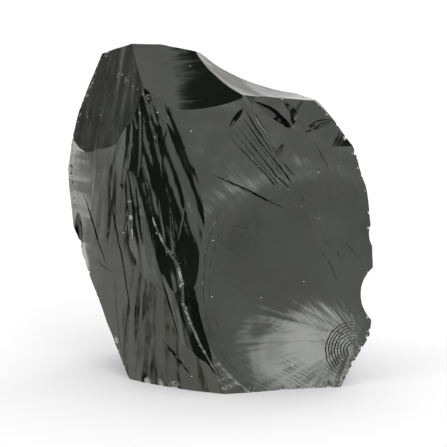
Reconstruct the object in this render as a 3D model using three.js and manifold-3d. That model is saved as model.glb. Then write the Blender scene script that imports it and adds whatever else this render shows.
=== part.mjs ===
// A chunk of obsidian: black volcanic glass, broken from a flow and left rough.
// Glass has no grain, so it parts along smooth shells. The stone is built the way it was broken: one plain
// lump, and one cutting surface for each blow that took a flake off it. What is left between them is the stone.
// Millimetres and degrees, +Z up. The broad face looks along -Y, and the origin is on the flat resting face.
import * as THREE from "three";
import { mergeVertices } from "three/addons/utils/BufferGeometryUtils.js";
import Module from "manifold-3d";

const wasm = await Module();
wasm.setup();

// The lump before the first blow. Its underside is the face the stone rests on.
const LUMP_SIZE = [112, 87, 118];
const LUMP_MIDDLE_Y = -0.5;

// How far a flake's surface runs each side of its middle where nothing else is given, and how high it is open.
const FULL_REACH = 110;
const OPEN_ABOVE = 140;
// The side of one facet on a curved break, and on a chip.
const FACET = 4;
const CHIP_FACETS = 20;

// Each flake is a shell-like surface.
//   at      a point on it, its lowest where it is hollow
//   faces   bearing and rise of the way it looks out: 0 is the front (-Y), 90 the right (+X), 180 the back
//   radii   radius of its curve across and along: above 0 hollow, below 0 rounded, 0 straight
//   turn    how far those two directions are turned about the way it faces
//   reach   how far it runs each side of the middle, across and along
const FLAKES = [
  // The broad front face, and the big shell-shaped scar low on it.
  { at: [3, -16, 64.5], faces: [8.5, 9.5], radii: [400, 400] },
  { at: [19, -17.5, 32], faces: [7, 9.5], radii: [130, 135], reach: [52, 52] },
  // The long left flank of the front, its foot, and the narrow faces beyond it.
  { at: [-23.5, -18.5, 52], faces: [-30, 0.5], radii: [-60, 300] },
  { at: [-12, -23.5, 11.5], faces: [-22, -6], radii: [0, 0] },
  { at: [-42.5, -1, 82], faces: [-56, 5.5], radii: [0, 0] },
  { at: [-38, -7, 19], faces: [-60.5, -4], radii: [0, 0] },
  { at: [-38.5, -4.5, 97], faces: [-47.5, 3], radii: [0, 0] },
  // The hollow sloping top, the shelf that falls away to its right, and the two small hollows below that.
  { at: [-6, -13.5, 88.5], faces: [8, 48], radii: [58, 200] },
  { at: [3, 0, 93.5], faces: [72, 62], radii: [0, 48] },
  { at: [29, 2, 85.5], faces: [75, 50], radii: [0, 0] },
  { at: [13.5, -10.5, 84], faces: [37, 44], radii: [26, 70], turn: -56, reach: [24, 24] },
  { at: [26, -10.5, 77], faces: [36, 44], radii: [30, 80], reach: [24, 24] },
  // The skyline, from the left peak down to the right shoulder.
  { at: [-30, -2.5, 105.5], faces: [-168.5, 71.5], radii: [0, -150], turn: -11 },
  { at: [-16, -2.5, 105.5], faces: [150.5, 69.5], radii: [0, -150], turn: 29 },
  { at: [4, 1, 94.5], faces: [129.5, 59.5], radii: [55, -150], turn: 49, reach: [40, FULL_REACH] },
  { at: [29, 3, 84.5], faces: [123.5, 51.5], radii: [-250, -150], turn: 56 },
  { at: [39, -4, 76], faces: [105, 18.5], radii: [0, -150], turn: 74 },
  // The right side.
  { at: [44, -9, 63], faces: [115, 16.5], radii: [60, -80], turn: 70, reach: [26, FULL_REACH] },
  { at: [44.5, -6, 34], faces: [119, -3], radii: [0, -120] },
  { at: [44, -21, 9.5], faces: [106, -34.5], radii: [0, -150], turn: 89 },
  // The left side, from the peak to the foot.
  { at: [-41.5, 0, 97.5], faces: [-102, 24], radii: [0, -150], turn: -74 },
  { at: [-47, 3.5, 81], faces: [-99, 13], radii: [0, -150], turn: -76 },
  { at: [-48.5, 6, 48.5], faces: [-94.5, -7], radii: [-300, -150], turn: -79 },
  { at: [-42.5, -1, 24], faces: [-90.5, -28], radii: [0, -150], turn: -80 },
  { at: [-34.5, -13.5, 10.5], faces: [-91.5, -22.5], radii: [0, -150], turn: -79 },
  // The rounded back, with the broad hollows struck into it.
  { at: [0, 30, 35], faces: [180, 2], radii: [-150, -150] },
  { at: [-26, 18, 100.5], faces: [180, 55], radii: [0, -60] },
  { at: [14, 23, 66], faces: [158, 20], radii: [85, 110], reach: [60, 60] },
  { at: [-24, 25, 40], faces: [-156, -4], radii: [80, 95], reach: [60, 60] },
  { at: [30, 18, 18], faces: [140, -12], radii: [60, 70], reach: [50, 50] },
];

// Each chip is an ellipsoid bitten out of an edge: its middle, the way its third axis faces, its half sizes.
const CHIPS = [
  // The bay and the notch in the right edge, and the shallow shell-shaped chip at the foot.
  { at: [54.3, -17, 29], faces: [0, 12], half: [11.3, 11.3, 40] },
  { at: [53.5, -17, 48.5], faces: [0, 12], half: [8, 8, 40] },
  { at: [39.5, -23.5, 12], faces: [10, 8], half: [8, 8, 3] },
  // The small dark hollow above the notch.
  { at: [48.5, -14.5, 60], faces: [25, 15], half: [4.5, 4, 5] },
  // Flakes off the bottom edge.
  { at: [30, -29, 0], faces: [10, -30], half: [5, 4, 4] },
  { at: [14, -30.5, -1], faces: [0, -30], half: [7, 3.5, 4] },
  { at: [36, -27, 2], faces: [30, -20], half: [4, 3, 3] },
  // Flakes off the left edge, where the two long faces meet.
  { at: [-49, 3, 44], faces: [-70, 0], half: [3.5, 9, 5] },
  { at: [-46, 0, 26], faces: [-75, -10], half: [3, 7, 5] },
  { at: [-48, 0, 84], faces: [-75, 10], half: [3, 8, 5] },
];

const OBSIDIAN = new THREE.MeshStandardMaterial({ color: 0x101210, roughness: 0.12, metalness: 0 });

// The frame a break is laid out in: across, along, and out of the stone.
function breakFrame({ at, faces: [bearing, rise], turn = 0 }) {
  const b = THREE.MathUtils.degToRad(bearing);
  const r = THREE.MathUtils.degToRad(rise);
  const out = new THREE.Vector3(Math.sin(b) * Math.cos(r), -Math.cos(b) * Math.cos(r), Math.sin(r));
  const level = new THREE.Vector3(0, 0, 1).cross(out).normalize();
  const upward = out.clone().cross(level);
  const frame = new THREE.Matrix4().makeBasis(level, upward, out);
  frame.multiply(new THREE.Matrix4().makeRotationZ(THREE.MathUtils.degToRad(turn)));
  return frame.setPosition(...at);
}

// A closed three.js mesh as a solid that can be cut.
function solidOf(geometry) {
  const bare = geometry.clone();
  bare.deleteAttribute("normal");
  bare.deleteAttribute("uv");
  const merged = mergeVertices(bare, 1e-4);
  return new wasm.Manifold(
    new wasm.Mesh({
      numProp: 3,
      vertProperties: merged.attributes.position.array,
      triVerts: new Uint32Array(merged.index.array),
    }),
  );
}

// Height of a break above the plane it touches, from its radius in one direction.
function bow(distance, radius) {
  return radius === 0 ? 0 : (distance * distance) / (2 * radius);
}

// What one blow took away: a block whose underside is the flake's surface.
function flakeSolid(flake) {
  const [acrossReach, alongReach] = flake.reach ?? [FULL_REACH, FULL_REACH];
  const [acrossRadius, alongRadius] = flake.radii;
  const acrossFacets = acrossRadius === 0 ? 1 : Math.round((2 * acrossReach) / FACET);
  const alongFacets = alongRadius === 0 ? 1 : Math.round((2 * alongReach) / FACET);
  const block = new THREE.BoxGeometry(2 * acrossReach, 2 * alongReach, 2, acrossFacets, alongFacets, 1);
  const position = block.attributes.position;
  for (let i = 0; i < position.count; i += 1) {
    const surface = bow(position.getX(i), acrossRadius) + bow(position.getY(i), alongRadius);
    position.setZ(i, position.getZ(i) < 0 ? surface : OPEN_ABOVE);
  }
  return solidOf(block.applyMatrix4(breakFrame(flake)));
}

// What one chip took away.
function chipSolid(chip) {
  const ball = new THREE.SphereGeometry(1, CHIP_FACETS, CHIP_FACETS / 2);
  ball.scale(...chip.half);
  return solidOf(ball.applyMatrix4(breakFrame(chip)));
}

function lumpSolid() {
  const [width, depth, height] = LUMP_SIZE;
  const lump = new THREE.BoxGeometry(width, depth, height);
  return solidOf(lump.translate(0, LUMP_MIDDLE_Y, height / 2));
}

function obsidianChunk() {
  let stone = lumpSolid();
  for (const flake of FLAKES) stone = stone.subtract(flakeSolid(flake));
  for (const chip of CHIPS) stone = stone.subtract(chipSolid(chip));
  const cut = stone.getMesh();
  const geometry = new THREE.BufferGeometry();
  geometry.setAttribute("position", new THREE.BufferAttribute(cut.vertProperties, cut.numProp));
  geometry.setIndex(new THREE.BufferAttribute(cut.triVerts, 1));
  geometry.computeVertexNormals();
  const chunk = new THREE.Mesh(geometry, OBSIDIAN);
  chunk.name = "obsidian_chunk";
  return chunk;
}

const part = new THREE.Group();
part.add(obsidianChunk());

export default part;
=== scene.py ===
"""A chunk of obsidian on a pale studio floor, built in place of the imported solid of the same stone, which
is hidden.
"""
import math

import bmesh
import bpy
from mathutils import Matrix, Vector
from mathutils.bvhtree import BVHTree


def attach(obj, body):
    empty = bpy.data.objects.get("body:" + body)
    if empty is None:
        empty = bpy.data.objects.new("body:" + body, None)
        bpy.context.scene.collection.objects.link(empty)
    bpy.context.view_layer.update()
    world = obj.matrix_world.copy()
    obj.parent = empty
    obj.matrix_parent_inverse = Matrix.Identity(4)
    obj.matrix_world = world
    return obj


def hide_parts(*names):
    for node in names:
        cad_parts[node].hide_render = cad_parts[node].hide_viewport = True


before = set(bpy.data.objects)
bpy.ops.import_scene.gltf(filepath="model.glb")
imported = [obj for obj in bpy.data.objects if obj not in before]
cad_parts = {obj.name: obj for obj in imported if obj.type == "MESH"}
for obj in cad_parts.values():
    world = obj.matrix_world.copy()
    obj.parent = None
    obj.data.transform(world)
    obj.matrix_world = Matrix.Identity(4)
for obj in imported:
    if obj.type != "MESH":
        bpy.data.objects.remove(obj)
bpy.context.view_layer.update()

# ------------------------------------------------------------------------------------------------------------
# The stone: a lump of obsidian, which is black volcanic glass, broken off a flow and left rough. Glass
# has no grain, so each blow took a flake off along a smooth shell. It is made the way it was broken, in
# millimetres and degrees: one plain lump, cut by a curved surface for each flake and by small solids for
# chips and cracks.
# ------------------------------------------------------------------------------------------------------------
MM = 0.001
# Two opposite corners of the lump before the first blow.
LUMP = ((-56, -44, 0), (56, 43, 118))
# How far a flake's surface runs each side where nothing else is given, how many wide rows carry it on
# past its fine ones, and how high the waste above it goes.
FULL_REACH = (110, 110)
OUTER_ROWS = 7
OPEN_ABOVE = 140


def connect(tree, socket, value):
    """Feeds a socket from another node, or sets it."""
    if isinstance(value, bpy.types.NodeSocket):
        tree.links.new(value, socket)
    else:
        socket.default_value = value


def node(tree, kind, *values, out=0, named=None, **settings):
    """One output of a new node of that kind, with its first sockets and any named ones filled in."""
    made = tree.nodes.new(kind)
    for key, value in settings.items():
        setattr(made, key, value)
    for socket, value in zip(made.inputs, values):
        if value is not None:
            connect(tree, socket, value)
    for name, value in (named or {}).items():
        connect(tree, made.inputs[name], value)
    return made.outputs[out]


def sums(tree, operation, *values):
    """One step of arithmetic."""
    return node(tree, "ShaderNodeMath", *values, operation=operation)


def vector(tree, operation, *values, out=0):
    """One step of vector arithmetic."""
    return node(tree, "ShaderNodeVectorMath", *values, operation=operation, out=out)


def scaled(tree, where, share):
    """A vector made that many times as long."""
    return node(tree, "ShaderNodeVectorMath", where, named={"Scale": share}, operation="SCALE")


def parts(tree, whole):
    """The three parts of a vector."""
    return node(tree, "ShaderNodeSeparateXYZ", whole).node.outputs


def swing(tree, where, height, detail=2.0):
    """Smooth noise that swings that far each side of zero."""
    raw = node(tree, "ShaderNodeTexNoise", named={"Vector": where, "Scale": 1.0, "Detail": detail})
    return sums(tree, "MULTIPLY", sums(tree, "MULTIPLY_ADD", raw, 2.0, -1.0), height)


def marked(tree, geometry, name, value):
    """The geometry with a value kept on every face corner, for the material to read."""
    return node(tree, "GeometryNodeStoreNamedAttribute", geometry, data_type="FLOAT_VECTOR", domain="CORNER",
                named={"Name": name, "Value": value})


obsidian = bpy.data.materials.new("obsidian")
obsidian.use_nodes = True


def laid_out(name, inputs, layout):
    """A geometry tree with those named inputs. It ends in real meshes and their material."""
    tree = bpy.data.node_groups.new(name, "GeometryNodeTree")
    for label, kind in inputs.items():
        tree.interface.new_socket(label, in_out="INPUT", socket_type="NodeSocket" + kind)
    tree.interface.new_socket("Geometry", in_out="OUTPUT", socket_type="NodeSocketGeometry")
    given = tree.nodes.new("NodeGroupInput")
    shape = layout(tree, {label: given.outputs[label] for label in inputs})
    real = node(tree, "GeometryNodeRealizeInstances", shape)
    finished = node(tree, "GeometryNodeSetMaterial", real, named={"Material": obsidian})
    connect(tree, tree.nodes.new("NodeGroupOutput").inputs[0], finished)
    return tree


def grown(tree, settings, source=None):
    """The waste that the tree makes with those settings, from nothing or from another object's mesh."""
    seed_mesh = source.data.copy() if source else bpy.data.meshes.new("waste")
    holder = bpy.data.objects.new("waste", seed_mesh)
    bpy.context.scene.collection.objects.link(holder)
    grow = holder.modifiers.new("grow", "NODES")
    grow.node_group = tree
    for item in tree.interface.items_tree:
        if item.in_out == "INPUT" and item.name in settings:
            grow[item.identifier] = settings[item.name]
    bpy.context.view_layer.update()
    settled = holder.evaluated_get(bpy.context.evaluated_depsgraph_get())
    mesh = bpy.data.meshes.new_from_object(settled)
    bpy.data.objects.remove(holder)
    made = bpy.data.objects.new("waste", mesh)
    bpy.context.scene.collection.objects.link(made)
    return made


# The rim of an older scar is this much of its full softness at the scar's middle, more for each
# millimetre up and to the right of it, and never less than the crispest.
RIM_AT_MIDDLE = 0.45
RIM_SOFTER_UP = 0.04
RIM_SOFTER_RIGHT = 0.025
RIM_CRISPEST = 0.03
# How many times as long as it is wide a flute or a streak runs.
FLUTE_LENGTH = 6.0
STREAK_LENGTH = 9.0
# Dividing a seed by this puts each flake in its own part of a pattern.
SEED_SPREAD = 0.13
# Ripples stray by this many radians, and come and go by this much, over patches of these sizes.
RIPPLE_STRAYS = 2.5
STRAY_SIZE = 9.0
RIPPLE_FADES = 1.6
FADE_SIZE = 14.0
FAINTEST_RIPPLE = 0.05


def struck_surface(t, g):
    """A closed block whose underside is the surface the flake came away along."""
    reach_x, reach_y, _ = parts(t, g["Reach"])
    clears_x, clears_y, _ = parts(t, g["Clears"])
    fine_x, fine_y = (sums(t, "CEIL", sums(t, "DIVIDE", r, g["Facet"])) for r in (reach_x, reach_y))
    half_x, half_y = (sums(t, "ADD", fine, OUTER_ROWS) for fine in (fine_x, fine_y))
    rows_x, rows_y = (sums(t, "MULTIPLY", half, 2.0) for half in (half_x, half_y))
    count_x, count_y = (sums(t, "MULTIPLY_ADD", half, 2.0, 1.0) for half in (half_x, half_y))
    block = node(t, "GeometryNodeMeshCube", named={
        "Size": node(t, "ShaderNodeCombineXYZ", rows_x, rows_y, 2.0),
        "Vertices X": count_x, "Vertices Y": count_y, "Vertices Z": 2})
    x, y, z = parts(t, node(t, "GeometryNodeInputPosition"))

    def spaced(row, fine, reach, clears):
        """Where a row stands: the fine rows evenly inside the reach, the outer rows on to where it clears."""
        farthest = sums(t, "MAXIMUM", clears, sums(t, "MULTIPLY_ADD", g["Facet"], OUTER_ROWS, reach))
        step = sums(t, "DIVIDE", sums(t, "SUBTRACT", farthest, reach), OUTER_ROWS)
        rows_out = sums(t, "ABSOLUTE", row)
        inside = sums(t, "MULTIPLY", sums(t, "MINIMUM", rows_out, fine), sums(t, "DIVIDE", reach, fine))
        beyond = sums(t, "MULTIPLY", sums(t, "MAXIMUM", sums(t, "SUBTRACT", rows_out, fine), 0.0), step)
        return sums(t, "MULTIPLY", sums(t, "SIGN", row), sums(t, "ADD", inside, beyond))

    u = spaced(x, fine_x, reach_x, clears_x)
    w = spaced(y, fine_y, reach_y, clears_y)
    flat = node(t, "ShaderNodeCombineXYZ", u, w, 0.0)
    curve_x, curve_y, _ = parts(t, g["Curve"])
    shell = sums(t, "ADD", sums(t, "MULTIPLY", curve_x, sums(t, "MULTIPLY", u, u)),
                 sums(t, "MULTIPLY", curve_y, sums(t, "MULTIPLY", w, w)))

    # An older scar, deeper than this one, whose rim is crisp at the foot and melts away at the top.
    scar_place = vector(t, "SUBTRACT", flat, g["Scar At"])
    scar_fall = sums(t, "DIVIDE", vector(t, "DOT_PRODUCT", scar_place, scar_place, out="Value"),
                     sums(t, "MULTIPLY", g["Scar Radius"], 2.0))
    scar = sums(t, "SUBTRACT", scar_fall, g["Scar Depth"])
    rightward, upward, _ = parts(t, scar_place)
    softer = sums(t, "ADD", sums(t, "MULTIPLY", upward, RIM_SOFTER_UP),
                  sums(t, "MULTIPLY", rightward, RIM_SOFTER_RIGHT))
    softness = sums(t, "MAXIMUM", sums(t, "ADD", softer, RIM_AT_MIDDLE), RIM_CRISPEST)
    rim = sums(t, "MULTIPLY", sums(t, "MINIMUM", softness, 1.0), g["Rim"])
    shell = sums(t, "SMOOTH_MIN", shell, scar, rim)

    # Across the streaks, and out from the blow.
    inward = scaled(t, g["Blow"], -1.0)
    from_blow = vector(t, "SUBTRACT", flat, g["Blow"])
    _, _, side = parts(t, vector(t, "CROSS_PRODUCT", inward, from_blow))
    ahead = vector(t, "DOT_PRODUCT", inward, from_blow, out="Value")
    blow_distance = vector(t, "LENGTH", g["Blow"], out="Value")
    across = sums(t, "MULTIPLY", sums(t, "ARCTAN2", side, ahead), blow_distance)
    out_from = vector(t, "LENGTH", from_blow, out="Value")
    grain = node(t, "ShaderNodeCombineXYZ", across, out_from, g["Seed"])

    def stretched(place, across_size, along_size):
        """The place in units of a pattern's own size, moved by the seed so that no two flakes match."""
        sizes = node(t, "ShaderNodeCombineXYZ", across_size, along_size, SEED_SPREAD)
        return vector(t, "DIVIDE", place, sizes)

    plain = node(t, "ShaderNodeCombineXYZ", u, w, g["Seed"])
    swell = swing(t, stretched(plain, g["Swell Width"], g["Swell Width"]), g["Swell Height"])
    flute_length = sums(t, "MULTIPLY", g["Flute Width"], FLUTE_LENGTH)
    flute = swing(t, stretched(grain, g["Flute Width"], flute_length), g["Flute Height"], 1.0)
    streak_length = sums(t, "MULTIPLY", g["Streak Width"], STREAK_LENGTH)
    streak = swing(t, stretched(grain, g["Streak Width"], streak_length), g["Streak Height"], 3.0)
    stray = swing(t, stretched(plain, STRAY_SIZE, STRAY_SIZE), RIPPLE_STRAYS)
    turns = sums(t, "MULTIPLY_ADD", sums(t, "DIVIDE", out_from, g["Ripple Spacing"]), math.tau, stray)
    fade = sums(t, "MAXIMUM", swing(t, stretched(plain, FADE_SIZE, FADE_SIZE), RIPPLE_FADES), FAINTEST_RIPPLE)
    ripple = sums(t, "MULTIPLY", sums(t, "MULTIPLY", sums(t, "SINE", turns), g["Ripple Height"]), fade)
    broad, narrow = sums(t, "ADD", swell, flute), sums(t, "ADD", streak, ripple)
    surface = sums(t, "ADD", shell, sums(t, "ADD", broad, narrow))

    under = sums(t, "LESS_THAN", z, 0.0)
    height = sums(t, "ADD", sums(t, "MULTIPLY", under, surface),
                  sums(t, "MULTIPLY", sums(t, "SUBTRACT", 1.0, under), OPEN_ABOVE))
    place = node(t, "ShaderNodeCombineXYZ", u, w, height)
    moved = node(t, "GeometryNodeSetPosition", block, named={"Position": place})
    return marked(t, marked(t, moved, "grain", grain), "finish", g["Finish"])


flake_tree = laid_out("struck surface", {
    "Reach": "Vector", "Clears": "Vector", "Facet": "Float", "Curve": "Vector", "Blow": "Vector",
    "Seed": "Float", "Swell Height": "Float", "Swell Width": "Float", "Flute Height": "Float",
    "Flute Width": "Float",
    "Streak Height": "Float", "Streak Width": "Float", "Ripple Height": "Float", "Ripple Spacing": "Float",
    "Scar At": "Vector", "Scar Radius": "Float", "Scar Depth": "Float", "Rim": "Float", "Finish": "Vector",
}, struck_surface)


def break_frame(at, faces, turn=0):
    """The frame a break is laid out in: across, along, and out of the stone."""
    bearing, rise = map(math.radians, faces)
    out = Vector((math.sin(bearing) * math.cos(rise), -math.cos(bearing) * math.cos(rise), math.sin(rise)))
    level = Vector((0, 0, 1)).cross(out).normalized()
    upward = out.cross(level)
    axes = Matrix((level, upward, out)).transposed().to_4x4() @ Matrix.Rotation(math.radians(turn), 4, "Z")
    return Matrix.Scale(MM, 4) @ Matrix.Translation(at) @ axes


def strike_off(stone, waste):
    """Takes the waste away from the stone, whichever way round its faces were made."""
    body = bmesh.new()
    body.from_mesh(waste.data)
    if body.calc_volume(signed=True) < 0:
        waste.data.flip_normals()
    body.free()
    cut = stone.modifiers.new("cut", "BOOLEAN")
    cut.operation, cut.solver, cut.object = "DIFFERENCE", "MANIFOLD", waste
    with bpy.context.temp_override(object=stone, active_object=stone):
        bpy.ops.object.modifier_apply(modifier=cut.name)
    bpy.data.objects.remove(waste)


# What a flake has where nothing else is given, as (height, width), and a scar too deep down to show.
SWELL, FLUTE, STREAK, RIPPLE = (0.4, 16), (0.15, 6), (0.04, 1.8), (0.04, 3.5)
NO_SCAR = ((0.0, 0.0), 100.0, -500.0, 0.01)
# Each flake has a point on it, the bearing and rise it faces (0 is the front, 90 the right), and its
# radii across and along: above 0 hollow, below 0 rounded, 0 straight. After that comes only what is not
# plain:
#   turn, reach, clears, facet    turn about the way it faces, how far it is fine, how far it runs, facet size
#   blow                          where the blow fell, across and along
#   swell, flute, streak, ripple  (height, width) of each
#   scar                          an older scar: its middle, radius, depth and the softness of its rim
#   finish                        how matte, how crushed and how brown it is
FLAKES = [
    # The broad front face, and the big shell-shaped scar low on it.
    dict(at=(3, -16, 64.5), faces=(12, 8.5), radii=(500, 1500), reach=(52, 68), facet=0.5, blow=(38, -50),
         swell=(0.35, 24), flute=(0.05, 7), streak=(0.055, 1.9), ripple=(0.008, 4),
         scar=((20, -34), 140, 3.1, 1.0)),
    # The long left flank of the front, its foot, and the narrow faces beyond it.
    dict(at=(-23.5, -18.5, 52), faces=(-30, 0.5), radii=(-60, 300), reach=(24, 60), facet=0.5, blow=(4, 140),
         swell=(0.1, 14), flute=(0.7, 6), streak=(0.16, 1.6), finish=(0, 0, 1)),
    dict(at=(-12, -23.5, 11.5), faces=(-27, -4), radii=(-90, 0), reach=(24, 26), facet=0.5, blow=(-4, 90),
         swell=(0.1, 14), flute=(0.5, 6), streak=(0.12, 1.6), ripple=(0.0, 3), finish=(0, 0, 1)),
    dict(at=(-41.2, 0, 79.6), faces=(-52, 16), radii=(0, 0), reach=(24, 44), facet=0.6, blow=(0, 120),
         flute=(0.3, 6), streak=(0.05, 2), finish=(1, 0, 0)),
    dict(at=(-38, -7, 19), faces=(-60.5, -4), radii=(0, 0), reach=(24, 34), facet=0.7, blow=(0, 120),
         streak=(0.03, 2), finish=(0.3, 0, 0)),
    dict(at=(-38.5, -4.5, 97), faces=(-47.5, 3), radii=(0, 0), reach=(20, 24), facet=0.6, blow=(40, 90)),
    # The hollow roll where the long flank turns into the front face, the narrow bevel that follows the whole
    # ridge, and the long flute beside them.
    dict(at=(-17.3, -17.9, 58), faces=(-11, 5.3), radii=(-60, 200), turn=17.5, reach=(15, 33),
         clears=(18, 36), facet=0.5, blow=(3, 110), flute=(0.5, 5), streak=(0.22, 1.7), ripple=(0.02, 1.3)),
    dict(at=(-11.05, -22.85, 36), faces=(-11, 5.3), radii=(-30, 0), turn=17.5, reach=(5, 62), clears=(7, 70),
         facet=0.5, blow=(3, 110), flute=(0.2, 4), streak=(0.16, 1.2)),
    dict(at=(-31.5, -12.6, 74), faces=(-30, 0.5), radii=(14, 600), turn=-8, reach=(6, 28), clears=(7, 31),
         facet=0.5, blow=(3, 110), flute=(0.2, 4), streak=(0.16, 1.4)),
    # The hollow sloping top, the shelf that falls away to its right, and the two small hollows below that.
    dict(at=(-6, -13.5, 88.5), faces=(8, 48), radii=(58, 200), reach=(40, 32), facet=0.5, blow=(-160, -10),
         swell=(0.1, 20), streak=(0.09, 1.7)),
    dict(at=(3, 0, 94.5), faces=(66, 60), radii=(0, 48), reach=(34, 34), facet=0.6, blow=(0, 90)),
    dict(at=(29, 2, 87.5), faces=(75, 50), radii=(0, 0), reach=(30, 28), facet=0.7, blow=(0, 60)),
    dict(at=(13.5, -10.5, 84), faces=(37, 44), radii=(26, 70), turn=-56, reach=(20, 20), clears=(24, 24),
         facet=0.5, blow=(-60, 10), streak=(0.04, 1.7)),
    dict(at=(26, -10.5, 77), faces=(36, 44), radii=(30, 80), reach=(20, 20), clears=(24, 24), facet=0.5,
         blow=(40, 30), streak=(0.04, 1.7)),
    # The skyline, from the left peak down to the right shoulder.
    dict(at=(-30, -2.5, 105.5), faces=(-168.5, 71.5), radii=(0, -150), turn=-11, reach=(34, 34),
         blow=(90, 0)),
    dict(at=(-16, -2.5, 105.5), faces=(150.5, 69.5), radii=(0, -150), turn=29, reach=(34, 34), blow=(90, 0)),
    dict(at=(4, 1, 96), faces=(129.5, 59.5), radii=(55, -150), turn=49, reach=(34, 50), clears=(40, 110),
         blow=(0, 90)),
    dict(at=(29, 3, 87), faces=(123.5, 51.5), radii=(-250, -150), turn=56, reach=(34, 40), blow=(0, 90)),
    dict(at=(39, -4, 76), faces=(105, 18.5), radii=(0, -150), turn=74, reach=(34, 40), blow=(0, 90)),
    # The right side.
    dict(at=(44, -9, 63), faces=(115, 16.5), radii=(60, -80), turn=70, reach=(22, 45), clears=(26, 110),
         blow=(60, 0)),
    dict(at=(44.5, -6, 34), faces=(119, -3), radii=(0, -120), reach=(50, 50), blow=(-80, 0)),
    dict(at=(44, -21, 9.5), faces=(106, -34.5), radii=(0, -150), turn=89, reach=(40, 40), blow=(0, 80)),
    # The left side, from the peak to the foot.
    dict(at=(-41.5, 0, 97.5), faces=(-102, 24), radii=(0, -150), turn=-74, reach=(40, 40), blow=(0, 90)),
    dict(at=(-47, 3.5, 81), faces=(-99, 13), radii=(0, -150), turn=-76, reach=(40, 40), blow=(0, 90)),
    dict(at=(-48.5, 6, 48.5), faces=(-94.5, -7), radii=(-300, -150), turn=-79, reach=(50, 40), blow=(90, 0)),
    dict(at=(-42.5, -1, 24), faces=(-90.5, -28), radii=(0, -150), turn=-80, reach=(40, 40), blow=(0, 90)),
    dict(at=(-34.5, -13.5, 10.5), faces=(-91.5, -22.5), radii=(0, -150), turn=-79, reach=(40, 40),
         blow=(0, 90)),
    # The rounded back, with the broad hollows struck into it.
    dict(at=(0, 30, 35), faces=(180, 2), radii=(-150, -150), reach=(60, 80), facet=1.2, blow=(20, 100),
         swell=(1.6, 24), flute=(0.4, 9), ripple=(0.08, 5)),
    dict(at=(-26, 18, 100.5), faces=(180, 55), radii=(0, -60), reach=(40, 40), blow=(60, 40)),
    dict(at=(14, 23, 66), faces=(158, 20), radii=(85, 110), reach=(50, 50), clears=(60, 60), facet=1.2,
         blow=(10, 60), swell=(0.8, 20), flute=(0.3, 8), ripple=(0.1, 4.5)),
    dict(at=(-24, 25, 40), faces=(-156, -4), radii=(80, 95), reach=(50, 50), clears=(60, 60), facet=1.2,
         blow=(-40, 50), swell=(0.8, 20), flute=(0.3, 8), ripple=(0.1, 4.5)),
    dict(at=(30, 18, 18), faces=(140, -12), radii=(60, 70), reach=(40, 40), clears=(50, 50), facet=1.2,
         blow=(30, -40), swell=(0.8, 20), flute=(0.3, 8), ripple=(0.1, 4)),
]


def flake_waste(number, at, faces, radii, turn=0, reach=(40, 40), clears=FULL_REACH, facet=1.0, blow=(0, 90),
                swell=SWELL, flute=FLUTE, streak=STREAK, ripple=RIPPLE, scar=NO_SCAR, finish=(0, 0, 0)):
    """What one blow took away."""
    curve = [0.5 / radius if radius else 0.0 for radius in radii] + [0.0]
    waste = grown(flake_tree, {
        "Reach": (*reach, 0.0), "Clears": (*clears, 0.0), "Facet": facet, "Curve": curve,
        "Blow": (*blow, 0.0), "Seed": float(number),
        "Swell Height": swell[0], "Swell Width": swell[1], "Flute Height": flute[0], "Flute Width": flute[1],
        "Streak Height": streak[0], "Streak Width": streak[1],
        "Ripple Height": ripple[0], "Ripple Spacing": ripple[1],
        "Scar At": (*scar[0], 0.0), "Scar Radius": scar[1], "Scar Depth": scar[2], "Rim": scar[3],
        "Finish": [float(part) for part in finish]})
    waste.data.transform(break_frame(at, faces, turn))
    return waste


low, high = (Vector(corner) * MM for corner in LUMP)
bpy.ops.mesh.primitive_cube_add(size=1)
stone = bpy.context.object
stone.name = "obsidian_stone"
stone.data.transform(Matrix.Translation((low + high) / 2) @ Matrix.Diagonal((*(high - low), 1)))
stone.data.materials.append(obsidian)
for number, flake in enumerate(FLAKES):
    strike_off(stone, flake_waste(number, **flake))

# Chips bitten out of the edges: the middle, the way the third axis faces, and the half sizes.
CHIPS = [
    # The bay and the notch in the right edge, and the shallow shell-shaped chip at the foot.
    dict(at=(54.3, -17, 29), faces=(0, 12), half=(11.3, 11.3, 40), rounds=6),
    dict(at=(53.5, -17, 48.5), faces=(0, 12), half=(8, 8, 40), rounds=5),
    dict(at=(39.5, -23.5, 12), faces=(10, 8), half=(8, 8, 3), rounds=5),
    # The small dark hollow above the notch.
    dict(at=(48.5, -14.5, 60), faces=(25, 15), half=(4.5, 4, 5)),
    # Flakes off the bottom edge.
    dict(at=(30, -29, 0), faces=(10, -30), half=(5, 4, 4)),
    dict(at=(14, -30.5, -1), faces=(0, -30), half=(7, 3.5, 4)),
    dict(at=(36, -27, 2), faces=(30, -20), half=(4, 3, 3)),
    # Flakes off the left edge, where the two long faces meet.
    dict(at=(-49, 3, 44), faces=(-70, 0), half=(3.5, 9, 5)),
    dict(at=(-46, 0, 26), faces=(-75, -10), half=(3, 7, 5)),
    dict(at=(-48, 0, 84), faces=(-75, 10), half=(3, 8, 5)),
]


def chip_waste(at, faces, half, rounds=4):
    """What one chip took away, rounder the more rounds it has."""
    bpy.ops.mesh.primitive_ico_sphere_add(subdivisions=rounds, radius=1)
    ball = bpy.context.object
    ball.data.transform(break_frame(at, faces) @ Matrix.Diagonal((*half, 1)))
    return ball


for chip in CHIPS:
    strike_off(stone, chip_waste(**chip))

# Narrow marks follow lines on the face. Each line is a size and then its points, across and up, as they
# look from the front and a little above: the points are dropped onto the stone from there.
FRONT_VIEW_RISE = math.radians(12)
INWARD = Vector((0, math.cos(FRONT_VIEW_RISE), -math.sin(FRONT_VIEW_RISE)))
UPWARD = Vector((0, math.sin(FRONT_VIEW_RISE), math.cos(FRONT_VIEW_RISE)))
FOOT = Vector((0, -32, 0))
# A point beside the stone is drawn in towards the middle of the view, a step at a time.
DROP_FROM = 200
VIEW_MIDDLE = 50
STEPS_IN = 40
STEP_IN = 0.01


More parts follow.
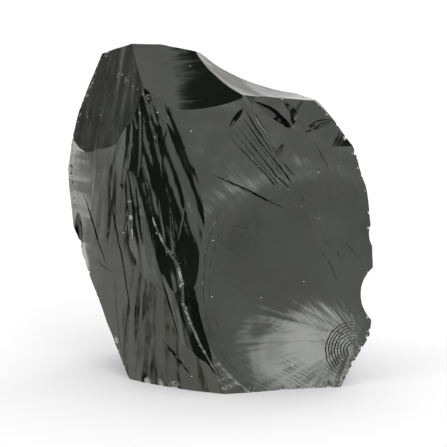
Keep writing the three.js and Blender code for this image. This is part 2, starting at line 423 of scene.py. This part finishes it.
def dropped(surface, across, up):
    """The point of the stone behind that place on the front view, or the nearest one a little further in."""
    for step in range(STEPS_IN):
        share = 1 - STEP_IN * step
        height = VIEW_MIDDLE + (up - VIEW_MIDDLE) * share
        start = FOOT + Vector((across * share, 0, 0)) + UPWARD * height - INWARD * DROP_FROM
        hit, *_ = surface.ray_cast(start * MM, INWARD)
        if hit:
            return hit
    return None


def lines_on(stone, lines):
    """A mesh object of the lines laid on the stone, with each point's size."""
    surface = BVHTree.FromPolygons([v.co for v in stone.data.vertices],
                                   [p.vertices for p in stone.data.polygons])
    points, edges, thickness = [], [], []
    for size, *places in lines:
        laid = [hit for hit in (dropped(surface, *place) for place in places) if hit]
        edges += [(len(points) + i, len(points) + i + 1) for i in range(len(laid) - 1)]
        points += laid
        thickness += [size * MM] * len(laid)
    mesh = bpy.data.meshes.new("lines")
    mesh.from_pydata(points, edges, [])
    mesh.attributes.new("thickness", "FLOAT", "POINT").data.foreach_set("value", thickness)
    return bpy.data.objects.new("lines", mesh)


# A groove is six-sided and bends every step. It strays with a noise this fine, and its ends narrow.
GROOVE_STEP = 0.8 * MM
GROOVE_SIDES = 6
STRAY_FINENESS = 700.0
STRAY_SEEDS_APART = 3.7
TAPER_START = 0.07
TAPER_SPAN = 3.0
TAPER_BLUNTS = 0.7
GROOVE_STRAYS = 0.7 * MM


def grooves(t, g):
    """A slender tapering solid along each line."""
    path = node(t, "GeometryNodeMeshToCurve", g["Geometry"])
    path = node(t, "GeometryNodeResampleCurve", path, named={"Length": GROOVE_STEP}, mode="LENGTH")
    noise = node(t, "ShaderNodeTexNoise", out=1, noise_dimensions="4D", named={
        "Scale": STRAY_FINENESS, "Detail": 3.0, "W": sums(t, "MULTIPLY", g["Seed"], STRAY_SEEDS_APART)})
    astray = scaled(t, vector(t, "SUBTRACT", noise, (0.5, 0.5, 0.5)), g["Wander"])
    path = node(t, "GeometryNodeSetPosition", path, named={"Offset": astray})
    along = node(t, "GeometryNodeSplineParameter", out="Factor")
    rise_and_fall = sums(t, "SINE", sums(t, "MULTIPLY_ADD", along, TAPER_SPAN, TAPER_START))
    taper = sums(t, "POWER", rise_and_fall, TAPER_BLUNTS)
    size = node(t, "GeometryNodeInputNamedAttribute", named={"Name": "thickness"}, data_type="FLOAT")
    profile = node(t, "GeometryNodeCurvePrimitiveCircle", named={"Resolution": GROOVE_SIDES, "Radius": 1.0})
    solid = node(t, "GeometryNodeCurveToMesh", path, profile,
                 named={"Fill Caps": True, "Scale": sums(t, "MULTIPLY", size, taper)})
    return marked(t, solid, "finish", g["Finish"])


groove_tree = laid_out("grooves", {"Geometry": "Geometry", "Wander": "Float", "Seed": "Int",
                                   "Finish": "Vector"}, grooves)

# Crushed chips nearer than this share of their spacing are thinned out. Each is squashed between two
# shapes, and the smallest is this share of the largest. Sizes, shapes and turns each draw from a seed of
# their own.
CHIPS_APART = 0.72
FLATTEST = (0.5, 0.6, 0.3)
ROUNDEST = (0.9, 1.0, 0.7)
SMALLEST_CHIP = 0.25
SIZE_SEED = 5
SHAPE_SEED = 9
TURN_SEED = 13


def crushed_edges(t, g):
    """Small angular chips of many sizes, strewn along each line."""

    def drawn(low, high, seed):
        """A vector drawn at random between two others."""
        return node(t, "FunctionNodeRandomValue", low, high, named={"Seed": seed}, data_type="FLOAT_VECTOR")

    path = node(t, "GeometryNodeMeshToCurve", g["Geometry"])
    path = node(t, "GeometryNodeResampleCurve", path, named={"Length": g["Spacing"]}, mode="LENGTH")
    places = node(t, "GeometryNodeCurveToPoints", path, mode="EVALUATED")
    away, back = (scaled(t, (way, way, way), g["Astray"]) for way in (1, -1))
    places = node(t, "GeometryNodeSetPosition", places, named={"Offset": drawn(back, away, g["Seed"])})
    places = node(t, "GeometryNodeMergeByDistance", places,
                  named={"Distance": sums(t, "MULTIPLY", g["Spacing"], CHIPS_APART)})
    size = node(t, "GeometryNodeInputNamedAttribute", named={"Name": "thickness"}, data_type="FLOAT")
    odds = node(t, "FunctionNodeRandomValue", data_type="FLOAT", out=1, named={
        "Min": 0.0, "Max": 1.0, "Seed": sums(t, "ADD", g["Seed"], SIZE_SEED)})
    uneven = sums(t, "MULTIPLY_ADD", sums(t, "POWER", odds, 2.0), 1 - SMALLEST_CHIP, SMALLEST_CHIP)
    squash = drawn(FLATTEST, ROUNDEST, sums(t, "ADD", g["Seed"], SHAPE_SEED))
    turned = drawn((0, 0, 0), (math.tau, math.tau, math.tau), sums(t, "ADD", g["Seed"], TURN_SEED))
    ball = node(t, "GeometryNodeMeshIcoSphere", named={"Radius": 1.0, "Subdivisions": 1})
    chips = node(t, "GeometryNodeInstanceOnPoints", places, named={
        "Instance": ball, "Rotation": turned, "Scale": scaled(t, squash, sums(t, "MULTIPLY", size, uneven))})
    return marked(t, node(t, "GeometryNodeRealizeInstances", chips), "finish", g["Finish"])


crush_tree = laid_out("crushed edges", {"Geometry": "Geometry", "Spacing": "Float", "Astray": "Float",
                                        "Seed": "Int", "Finish": "Vector"}, crushed_edges)

GROOVES = [
    # The long wedge-shaped crack across the front face, and the faint line below it.
    (0.5, (-4, 69), (2, 66.5), (7.5, 64), (14.5, 60.5), (21, 57.5)),
    (0.15, (-0.5, 53.5), (6, 52.5), (12.5, 52)),
    # The upright gash left of the middle, and the splinters beside it.
    (0.7, (-20.5, 82), (-20, 78), (-19, 73.5), (-19, 68)),
    (0.3, (-21.5, 84), (-21, 79)),
    (0.3, (-17.5, 83), (-18.5, 78)),
    # The fan of steps spreading from the point under the top ridge.
    (0.35, (1.5, 81), (8, 74), (14.5, 67.5), (21, 58.5)),
    (0.45, (4.5, 83.5), (10.5, 76), (16.5, 68.5), (22.5, 63)),
    (0.45, (6, 86.5), (12, 78), (18.5, 70), (25.5, 60.5)),
    (0.5, (7, 88.5), (10, 83), (15, 76)),
    (0.4, (8, 91), (11, 85), (14, 81)),
    (0.25, (3, 82.5), (9, 75), (15.5, 67.5), (21.5, 61)),
    (0.25, (5.5, 85), (11.5, 77), (17.5, 69.5), (24, 62)),
    (0.2, (14, 79), (19, 72), (26, 64)),
    (0.2, (28, 79.5), (31, 74), (34, 69)),
    (0.2, (33, 80), (35.5, 74)),
    # Light arcs beside the right edge.
    (0.2, (28.5, 47.5), (33, 42), (36, 35)),
    (0.15, (31, 49), (36, 44.5), (39, 38)),
    (0.15, (35, 49.5), (40, 46), (43.5, 41)),
    (0.9, (6, 89.5), (4, 86.5), (2, 83.5)),
    (0.7, (16, 74.5), (17.5, 76.5), (18.5, 78.5)),
    (0.5, (25, 82), (30, 84), (34, 86)),
    (2.2, (9.5, 91.5), (15, 88.5), (21, 83.5)),
    (1.4, (19, 92), (22, 88.5), (21.5, 84.5)),
    (0.9, (26, 83.5), (30, 85.5), (35, 87.5)),
    # The crisp ridge between the flank and the front, all the way down.
    (0.9, (-24, 61), (-21, 53), (-18.5, 47.5), (-14, 41), (-12.5, 34.5), (-12.5, 29), (-10, 22.5), (-7, 16),
     (-3, 9), (1, 3.5)),
    # The flank's own splits.
    (0.35, (-36.5, 67.5), (-34.5, 56.5), (-32, 45), (-30.5, 34.5), (-29, 24.5)),
    (0.25, (-34.5, 42), (-34, 30), (-33, 17.5), (-31, 5.5)),
    (0.6, (-19, 17.5), (-16, 14), (-13, 10), (-10.5, 7)),
    (0.9, (-26, 93.5), (-25.5, 86), (-25.5, 76.5), (-26.5, 68)),
    (0.8, (-24, 68.5), (-23, 59.5), (-22, 50)),
    (1.0, (-27, 65.5), (-26, 56.5), (-25, 47)),
    (0.7, (-20, 61), (-19, 53.5), (-17.5, 43.5)),
    (0.6, (-16.5, 59), (-16, 52.5), (-15, 45)),
    (0.6, (-12, 59), (-12.5, 55), (-14, 48.5)),
    (1.2, (-30, 71), (-29, 61), (-28, 48.5)),
    # The ledge and the tube-shaped strip on the left.
    (0.4, (-40.5, 42.5), (-37, 39.5), (-34, 38)),
    (0.5, (-44.5, 63.5), (-41, 53.5), (-37, 41)),
    (0.2, (-42, 56.5), (-39.5, 55)),
    (0.2, (-41, 54), (-38.5, 53)),
    # The two rims of the big scar.
    (0.3, (-0.5, 59.5), (-3.5, 52), (-6, 42.5), (-6.5, 33), (-4.5, 21), (0.5, 11.5), (8, 3.5)),
    (0.15, (1, 56.5), (-1.5, 50), (-4, 42), (-4.5, 33), (-2, 22), (2.5, 13.5), (10, 5.5)),
]
# The rings in the small shell-shaped chip at the foot, round the point where its blow fell.
SHELL_MIDDLE = (41, 14)
RINGS = 8
RING_SIZE = 0.22
FIRST_RING = 2.4
RING_STEP = 0.95
RING_ANGLES = [math.radians(angle) for angle in range(80, 265, 20)]
for ring in range(RINGS):
    radius = FIRST_RING + RING_STEP * ring
    GROOVES.append((RING_SIZE, *[(SHELL_MIDDLE[0] + radius * math.cos(angle),
                                  SHELL_MIDDLE[1] + radius * math.sin(angle)) for angle in RING_ANGLES]))
CRUSHED = [
    # The ridges round the top.
    (0.9, (-33, 101), (-30.5, 98.5), (-28, 96), (-25.5, 94), (-23, 92.5)),
    (0.5, (21, 95), (29, 91), (34.5, 86.5), (39, 81)),
    (0.3, (12, 87.5), (20, 81.5), (25.5, 80), (34, 80.5)),
    # Down the left edge.
    (0.8, (-37.5, 108.5), (-41, 104), (-43.5, 97), (-45.5, 91.5), (-47, 83), (-48.5, 73.5), (-48.5, 67.5)),
    (0.9, (-48, 67), (-47.5, 58), (-46, 48), (-44.5, 38)),
    (0.6, (-44.5, 36.5), (-40.5, 30), (-37, 23), (-35.5, 16), (-34.5, 8.5)),
    # Along the foot.
    (0.9, (-32, 7), (-27.5, 4), (-17.5, 3), (2, 3), (12.5, 0.5), (26.5, 0.5), (38, 4), (46, 11)),
    (0.8, (39, 6), (44.5, 9.5), (48.5, 14.5), (47.5, 19)),
    # Down the right edge.
    (0.6, (39.5, 81.5), (41, 75), (44, 66.5), (47.5, 60), (48, 56), (46.5, 52)),
    (0.6, (48, 43), (48, 38), (44, 34.5), (43.5, 30), (45.5, 26.5), (49.5, 21), (49, 16)),
    # On the ridge of the flank, at the ends of the fan, and on the rough patch.
    (0.55, (-18.5, 48.5), (-13.5, 41), (-12.5, 29), (-7.5, 16), (1, 3.5)),
    (0.4, (6, 78), (10.5, 71.5), (16, 67.5), (21, 63.5), (26, 56), (30, 55)),
    (0.2, (18.5, 51), (26.5, 50.5)),
    (0.2, (-46, 79.5), (-40, 76.5), (-37.5, 73.5), (-39, 70)),
]
CLEAN = (0.0, 0.0, 0.0)
# Broken faces are matte and crushed. Crushed faces take the pale colour, which is partly the whitening of
# crushed glass and partly painted glints.
BROKEN = (0.6, 1.0, 0.0)
for number, line in enumerate(GROOVES):
    strike_off(stone, grown(groove_tree, {"Wander": GROOVE_STRAYS, "Seed": number, "Finish": CLEAN},
                            lines_on(stone, [line])))
# Three passes, from a few large chips to many small ones, so that the chips of one pass stay apart: how
# far apart they are, how far they stray, and how large they are beside a chip that is grown by the usual
# amount.
CRUSH_PASSES = ((5.0, 0.9, 1.7), (2.4, 0.5, 1.0), (1.2, 0.35, 0.5))
CHIP_GROWTH = 1.9
for seed, (spacing, astray, swollen) in enumerate(CRUSH_PASSES):
    larger = [(size * swollen * CHIP_GROWTH, *places) for size, *places in CRUSHED]
    strike_off(stone, grown(crush_tree, {"Spacing": spacing * MM, "Astray": astray * MM, "Seed": seed,
                                         "Finish": BROKEN}, lines_on(stone, larger)))

SHARP_FROM = math.radians(14)
for polygon in stone.data.polygons:
    polygon.use_smooth = True
stone.data.set_sharp_from_angle(angle=SHARP_FROM)

m = obsidian.node_tree
skin = m.nodes["Principled BSDF"]
grain_at = node(m, "ShaderNodeAttribute", attribute_name="grain", out="Vector")
matte, crushed, warm = parts(m, node(m, "ShaderNodeAttribute", attribute_name="finish", out="Vector"))
place = scaled(m, node(m, "ShaderNodeTexCoord", out="Object"), 1 / MM)


def noise_of(where, stretch, detail=4.0, rough=0.55):
    """Noise from 0 to 1 whose patches measure one over the stretch, in millimetres."""
    return node(m, "ShaderNodeTexNoise", named={"Vector": vector(m, "MULTIPLY", where, stretch), "Scale": 1.0,
                                                "Detail": detail, "Roughness": rough})


def between(value, low, high, start=0.0, end=1.0):
    """The value taken from one range to another, and held there."""
    return node(m, "ShaderNodeMapRange", value, low, high, start, end)


def blend(share, first, second):
    """Two colours mixed."""
    mixed = m.nodes.new("ShaderNodeMix")
    mixed.data_type = "RGBA"
    connect(m, mixed.inputs[0], share)
    connect(m, mixed.inputs[6], first)
    connect(m, mixed.inputs[7], second)
    return mixed.outputs[2]


# Black glass, faintly green where it is clear and brown in streaks along the flank, and pale where it is
# crushed: partly the whitening of crushed glass, partly painted glints.
BLACK_GLASS = (0.0022, 0.0027, 0.0022, 1)
GREEN_GLASS = (0.006, 0.0078, 0.0055, 1)
BROWN_GLASS = (0.020, 0.018, 0.012, 1)
# Pale grey for crushed faces: partly the real whitening of crushed glass, partly painted highlights standing
# in for glints.
POWDER_AND_GLINT = (0.42, 0.42, 0.39, 1)
DUST = (0.5, 0.5, 0.48, 1)
REFLECTION_TINT = (0.98, 1.0, 0.94, 1)
GLASS_IOR = 1.5
# How closely each pattern is packed: patches per millimetre, across the streaks and along them where it
# has them.
GREEN_CLOUDS = (0.05, 0.05, 0.05)
BROWN_STREAKS = (0.45, 0.03, 3.1)
POWDER_AND_GLINT_GRAINS = (1.6, 1.6, 1.6)
SHEEN_CLOUDS = (0.12, 0.12, 0.12)
FINE_STREAKS = (1.9, 0.16, 3.1)
COARSE_GRAINS = (1.1, 1.1, 1.1)
DUST_CELLS = 0.28
# A speck of dust fills this much of its cell, in this share of the cells.
SPECK_SIZE = 0.05
SPECK_SHARE = 0.3
MATTE_ROUGHNESS = 0.14
MATTE_RELIEF = 2.2
RELIEF_DEPTH = 0.03 * MM

glass = blend(between(noise_of(place, GREEN_CLOUDS), low=0.35, high=0.65), BLACK_GLASS, GREEN_GLASS)
brown = sums(m, "MULTIPLY", warm,
             between(noise_of(grain_at, BROWN_STREAKS), low=0.4, high=0.65, start=0.15, end=1.0))
glass = blend(brown, glass, BROWN_GLASS)
# Painted glints: crushed faces are made pale in speckled grains. This is partly the whitening of crushed
# glass and partly painted highlights in place of real glints.
powder_and_glint = between(noise_of(place, POWDER_AND_GLINT_GRAINS, detail=6.0, rough=0.7), low=0.42, high=0.6)
glass = blend(sums(m, "MULTIPLY", crushed, powder_and_glint), glass, POWDER_AND_GLINT)
speck = node(m, "ShaderNodeTexVoronoi", place, named={"Scale": DUST_CELLS, "Randomness": 1.0})
chosen = node(m, "ShaderNodeSeparateColor", speck.node.outputs["Color"])
dust = sums(m, "MULTIPLY", sums(m, "LESS_THAN", speck, SPECK_SIZE), sums(m, "LESS_THAN", chosen, SPECK_SHARE))
glass = blend(dust, glass, DUST)
connect(m, skin.inputs["Base Color"], glass)
sheen = between(noise_of(place, SHEEN_CLOUDS), low=0.3, high=0.7, start=0.06, end=0.15)
connect(m, skin.inputs["Roughness"], sums(m, "MULTIPLY_ADD", matte, MATTE_ROUGHNESS, sheen))
skin.inputs["IOR"].default_value = GLASS_IOR
skin.inputs["Specular Tint"].default_value = REFLECTION_TINT
fine = noise_of(grain_at, FINE_STREAKS, detail=3.0)
coarse = sums(m, "MULTIPLY", noise_of(place, COARSE_GRAINS, detail=5.0, rough=0.6),
              sums(m, "MULTIPLY", matte, MATTE_RELIEF))
relief = node(m, "ShaderNodeBump", named={"Height": sums(m, "ADD", fine, coarse), "Distance": RELIEF_DEPTH,
                                          "Strength": 1.0})
connect(m, skin.inputs["Normal"], relief)

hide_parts("obsidian_chunk")
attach(stone, "root")

# ------------------------------------------------------------------------------------------------------------
# The studio: a broad matt floor, painted white, under a pale and slightly uneven dome of light with dark
# gaps in it. The glass shows the dome as reflections. The floor is left out of them, so the gaps go on
# below the horizon.
# ------------------------------------------------------------------------------------------------------------
FLOOR_SIZE = 20
FLOOR_WHITE = (0.74, 0.74, 0.74, 1)
FLOOR_ROUGHNESS = 0.9
bpy.ops.mesh.primitive_plane_add(size=FLOOR_SIZE)
floor = bpy.context.object
floor.name = "floor"
white = bpy.data.materials.new("floor white")
white.use_nodes = True
paint = white.node_tree.nodes["Principled BSDF"]
paint.inputs["Base Color"].default_value = FLOOR_WHITE
paint.inputs["Roughness"].default_value = FLOOR_ROUGHNESS
paint.inputs["Specular IOR Level"].default_value = 0.0
floor.data.materials.append(white)
floor.visible_glossy = False

# The dome's brightness, how far it swings each way, and how closely the swings are packed.
DOME = 1.68
DOME_SWING = 0.95
DOME_CLOUDS = (4, 4, 6)
# Dark gaps and bright lamps on the dome, each laid over the ones before it: bearing, rise, how many
# degrees out it is full, how many degrees out it ends, and its brightness.
PATCHES = [
    # The gap left of the front, and the one overhead.
    (-26, -12, 12, 17, 0.03), (-26, 10, 12, 17, 0.03), (-25, 32, 12, 17, 0.03), (0, 88, 14, 22, 0.03),
    # The broad glow in front, and the two lamps in it.
    (12, 13, 8, 22, 1.95), (31, 17, 3, 9, 6.0), (23, 17, 3, 10, 8.5),
    # The left side.
    (-106, 11, 9, 12.5, 0.03), (-58, -11, 4, 11, 2.7),
    (-75, -28, 6, 9, 0.05), (-75, -11, 6, 9, 0.05), (-75, 6, 6, 9, 0.05),
    # The right side and the back.
    (62, -15, 7, 12, 0.05), (88, 28, 8, 13, 0.05), (100, -12, 6, 12, 2.8), (128, -10, 8, 14, 0.04),
    (140, 32, 5, 11, 4.0), (150, -8, 4, 10, 4.5), (175, -20, 8, 14, 0.05), (-150, -12, 8, 14, 0.05),
    (-125, -15, 5, 11, 3.5),
]


def compass(bearing, rise):
    """The direction at that bearing and rise."""
    b, r = math.radians(bearing), math.radians(rise)
    return (math.sin(b) * math.cos(r), -math.cos(b) * math.cos(r), math.sin(r))


world = bpy.data.worlds.new("studio")
bpy.context.scene.world = world
world.use_nodes = True
sky = world.node_tree
sky.nodes.clear()
way = node(sky, "ShaderNodeTexCoord")
level = sums(sky, "ADD", swing(sky, vector(sky, "MULTIPLY", way, DOME_CLOUDS), DOME_SWING), DOME)
for bearing, rise, full, fades, brightness in PATCHES:
    facing = vector(sky, "DOT_PRODUCT", way, compass(bearing, rise), out="Value")
    share = node(sky, "ShaderNodeMapRange", interpolation_type="SMOOTHSTEP", named={
        "Value": facing, "From Min": math.cos(math.radians(fades)),
        "From Max": math.cos(math.radians(full))})
    change = sums(sky, "SUBTRACT", brightness, level)
    level = sums(sky, "MULTIPLY_ADD", share, change, level)
glow = node(sky, "ShaderNodeBackground", node(sky, "ShaderNodeCombineColor", level, level, level))
connect(sky, sky.nodes.new("ShaderNodeOutputWorld").inputs[0], glow)
bpy.context.scene.view_settings.view_transform = "Standard"

# The camera stands in front, a little above, with a long lens. The picture is this wide at the stone.
PICTURE_WIDTH = 0.1386
CAMERA_DISTANCE = 0.75
CAMERA_RISE = 12
SENSOR_WIDTH = 36
TARGET = Vector((0.0, -0.017, 0.0518))
camera = bpy.data.objects.new("camera", bpy.data.cameras.new("camera"))
bpy.context.scene.collection.objects.link(camera)
bpy.context.scene.camera = camera
camera.data.sensor_width = SENSOR_WIDTH
camera.data.lens = SENSOR_WIDTH * CAMERA_DISTANCE / PICTURE_WIDTH
away = Vector(compass(0, CAMERA_RISE))
camera.location = TARGET + away * CAMERA_DISTANCE
camera.rotation_euler = (-away).to_track_quat("-Z", "Y").to_euler()
